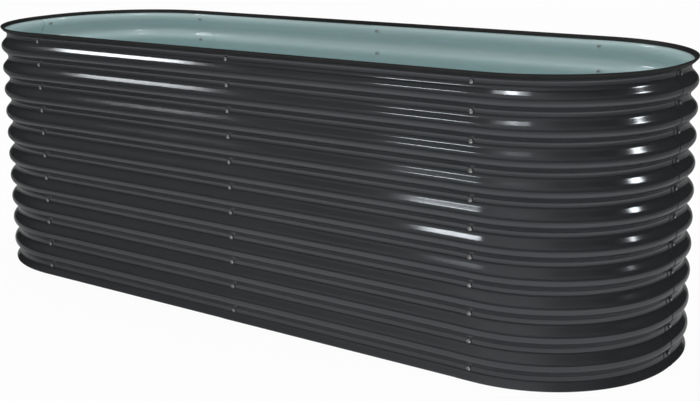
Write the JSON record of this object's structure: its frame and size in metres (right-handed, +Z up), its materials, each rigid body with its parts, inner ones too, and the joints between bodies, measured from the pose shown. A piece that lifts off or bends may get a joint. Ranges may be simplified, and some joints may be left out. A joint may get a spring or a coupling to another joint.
{
  "type": "raised garden bed",
  "caption": "Tall open-bottomed raised garden bed with rounded ends, bolted up from lapped panels of corrugated coated steel, with a rubber edge trim and cross ties.",
  "frame": {"origin": "on the ground at the middle of the bed's outline", "axes": "+X along the bed, +Y towards its back wall, +Z up"},
  "size_m": [2.4352, 0.8254, 0.8168],
  "materials": {
    "coated_steel": "gloss",
    "edge_rubber": "matte",
    "seal_rubber": "matte",
    "screw_steel": "satin",
    "nut_steel": "satin",
    "rod_steel": "satin"
  },
  "bodies": {
    "root": {"side_panel_front_left": "coated_steel", "side_panel_front_right": "coated_steel", "side_panel_back_left": "coated_steel", "side_panel_back_right": "coated_steel", "corner_panel_front_left": "coated_steel", "corner_panel_front_right": "coated_steel", "corner_panel_back_left": "coated_steel", "corner_panel_back_right": "coated_steel", "edge_trim": "edge_rubber", "tie_rod_lower": "rod_steel", "tie_rod_upper": "rod_steel", "screws_front_left": "screw_steel", "sealing_washers_front_left": "seal_rubber", "washers_front_left": "nut_steel", "nuts_front_left": "nut_steel", "screws_front_middle": "screw_steel", "sealing_washers_front_middle": "seal_rubber", "washers_front_middle": "nut_steel", "nuts_front_middle": "nut_steel", "screws_front_right": "screw_steel", "sealing_washers_front_right": "seal_rubber", "washers_front_right": "nut_steel", "nuts_front_right": "nut_steel", "screws_right_end": "screw_steel", "sealing_washers_right_end": "seal_rubber", "washers_right_end": "nut_steel", "nuts_right_end": "nut_steel", "screws_back_right": "screw_steel", "sealing_washers_back_right": "seal_rubber", "washers_back_right": "nut_steel", "nuts_back_right": "nut_steel", "screws_back_middle": "screw_steel", "sealing_washers_back_middle": "seal_rubber", "washers_back_middle": "nut_steel", "nuts_back_middle": "nut_steel", "screws_back_left": "screw_steel", "sealing_washers_back_left": "seal_rubber", "washers_back_left": "nut_steel", "nuts_back_left": "nut_steel", "screws_left_end": "screw_steel", "sealing_washers_left_end": "seal_rubber", "washers_left_end": "nut_steel", "nuts_left_end": "nut_steel"}
  },
  "joints": []
}
